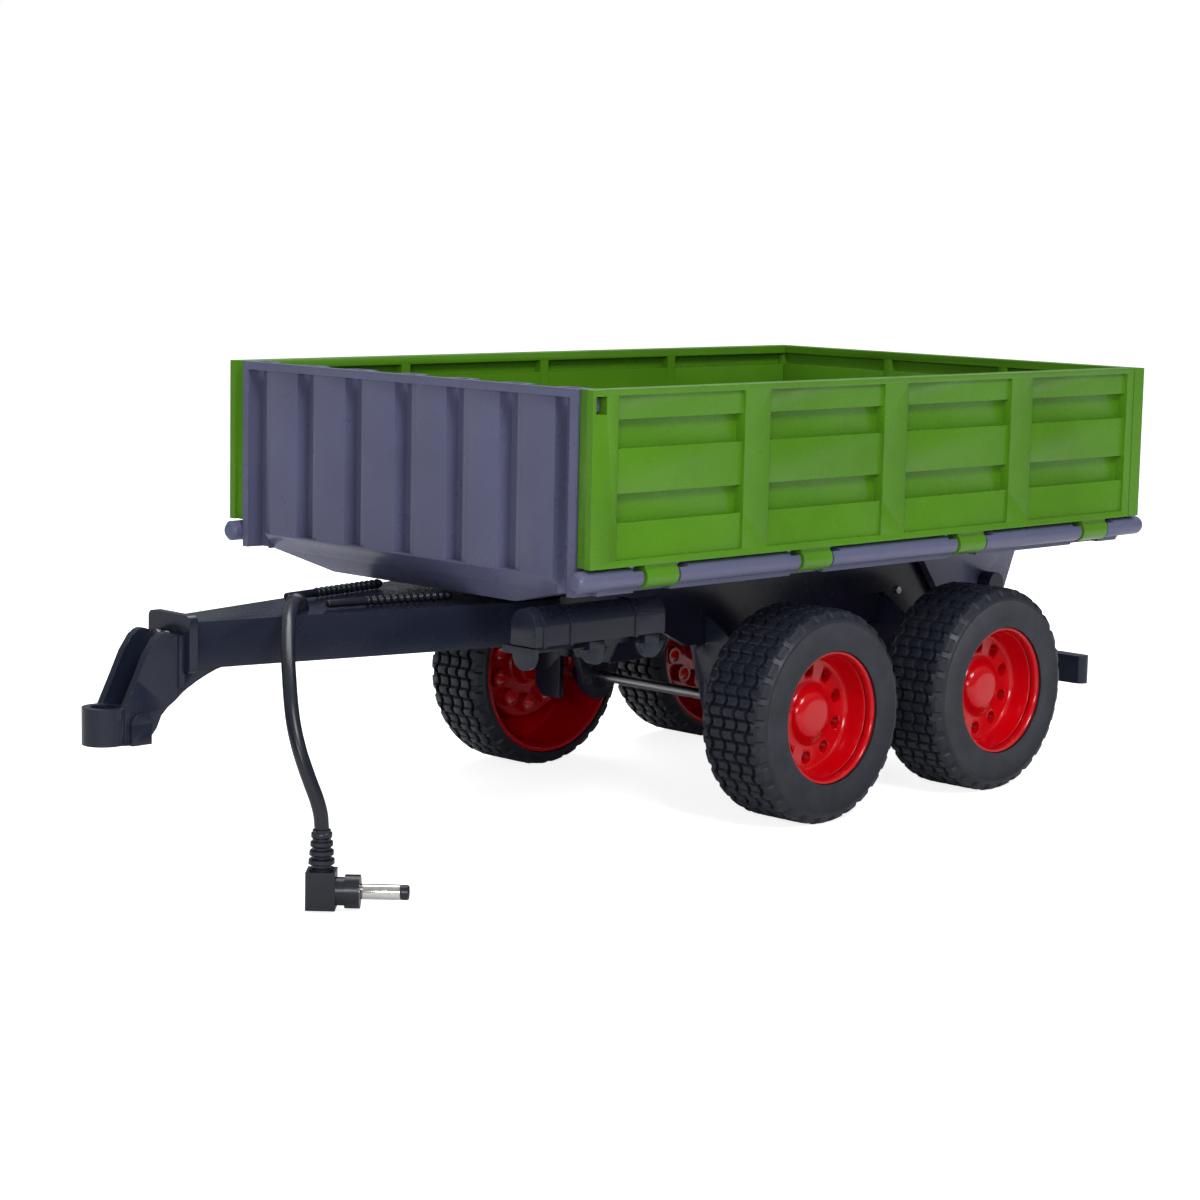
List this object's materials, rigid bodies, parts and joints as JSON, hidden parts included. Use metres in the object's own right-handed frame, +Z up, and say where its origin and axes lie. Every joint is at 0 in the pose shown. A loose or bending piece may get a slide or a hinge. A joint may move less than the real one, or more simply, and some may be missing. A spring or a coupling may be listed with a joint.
{
  "type": "toy tipping trailer",
  "caption": "Toy farm trailer with tandem axles: tipping load box, folding side panels and tailgate, hitch eye on a gooseneck drawbar and a short power lead.",
  "frame": {"origin": "centre of the bounding box, at the ground under the tyres", "axes": "+X forwards to the hitch eye, +Y to the trailer's left, +Z up"},
  "size_m": [0.3132, 0.1364, 0.115],
  "materials": {
    "chassis_black": "satin moulded black plastic",
    "hose_black": "satin black rubber",
    "cord_pvc": "satin black soft PVC",
    "lead_red": "red wire insulation",
    "nickel": "bright nickel plate",
    "steel": "drawn steel",
    "brass": "turned brass",
    "board_green": "green board",
    "gear_white": "natural white gear plastic",
    "rim_red": "glossy red plastic",
    "tyre_rubber": "matt black rubber",
    "box_grey": "satin blue-grey plastic",
    "panel_green": "satin mid-green plastic"
  },
  "bodies": {
    "chassis": {"chassis_frame": "chassis_black", "drawbar": "chassis_black", "drawbar_cover": "chassis_black", "hitch_neck": "chassis_black", "frame_screws": "steel", "hose_left": "hose_black", "hose_right": "hose_black", "cord_grommet": "hose_black", "power_cord": "cord_pvc", "strain_relief": "cord_pvc", "plug_body": "cord_pvc", "plug_barrel": "nickel", "plug_insulator": "cord_pvc", "inner_lead": "lead_red", "air_tank": "chassis_black", "tank_bracket": "chassis_black", "circuit_cover": "chassis_black", "circuit_board": "board_green", "front_hangers": "chassis_black", "rear_hangers": "chassis_black", "front_bushes": "chassis_black", "rear_bushes": "chassis_black", "rear_bumper": "chassis_black", "bumper_bracket": "chassis_black", "bumper_screws": "steel", "pivot_shaft": "steel", "pivot_caps": "chassis_black", "lay_shaft": "steel", "lift_motor": "steel", "gearbox_tub": "chassis_black", "gearbox_screws": "steel"},
    "front_wheels": {"front_axle": "steel", "rim_front_left": "rim_red", "rim_front_right": "rim_red", "tyre_front_left": "tyre_rubber", "tyre_front_right": "tyre_rubber"},
    "rear_wheels": {"rear_axle": "steel", "rim_rear_left": "rim_red", "rim_rear_right": "rim_red", "tyre_rear_left": "tyre_rubber", "tyre_rear_right": "tyre_rubber"},
    "bed": {"bed_floor": "box_grey", "headboard": "box_grey", "hinge_rail_left": "box_grey", "hinge_rail_right": "box_grey", "rear_rail": "box_grey", "tipping_lugs": "box_grey", "floor_screws": "steel", "lift_sector": "box_grey"},
    "left_side": {"side_panel_left": "panel_green"},
    "right_side": {"side_panel_right": "panel_green"},
    "gate": {"tailgate": "panel_green"},
    "lay_gears": {"lay_gear": "gear_white"},
    "motor_rotor": {"motor_shaft": "steel", "motor_pinion": "brass"}
  },
  "joints": [
    {"name": "body_tip", "type": "hinge", "parent": "chassis", "child": "bed", "pos_m": [-0.132, 0, 0.052], "axis": [0, -1, 0], "range_deg": [0, 45]},
    {"name": "left_side_fold", "type": "hinge", "parent": "bed", "child": "left_side", "pos_m": [0, 0.0654, 0.0704], "axis": [-1, 0, 0], "range_deg": [0, 150]},
    {"name": "right_side_fold", "type": "hinge", "parent": "bed", "child": "right_side", "pos_m": [0, -0.0654, 0.0704], "axis": [1, 0, 0], "range_deg": [0, 150]},
    {"name": "tailgate_fold", "type": "hinge", "parent": "bed", "child": "gate", "pos_m": [-0.1536, 0, 0.0704], "axis": [0, -1, 0], "range_deg": [0, 110]},
    {"name": "front_wheel_spin", "type": "hinge", "parent": "chassis", "child": "front_wheels", "pos_m": [-0.0293, 0, 0.028], "axis": [0, 1, 0], "continuous": true},
    {"name": "rear_wheel_spin", "type": "hinge", "parent": "chassis", "child": "rear_wheels", "pos_m": [-0.0997, 0, 0.028], "axis": [0, 1, 0], "continuous": true},
    {"name": "lay_gear_spin", "type": "hinge", "parent": "chassis", "child": "lay_gears", "pos_m": [-0.097, 0, 0.052], "axis": [0, 1, 0], "range_deg": [0, 270]},
    {"name": "motor_spin", "type": "hinge", "parent": "chassis", "child": "motor_rotor", "pos_m": [-0.0845, 0, 0.052], "axis": [0, -1, 0], "range_deg": [0, 855]}
  ],
  "couplings": [
    {"joint": "lay_gear_spin", "follows": "body_tip", "ratio": 6},
    {"joint": "motor_spin", "follows": "body_tip", "ratio": 19}
  ]
}
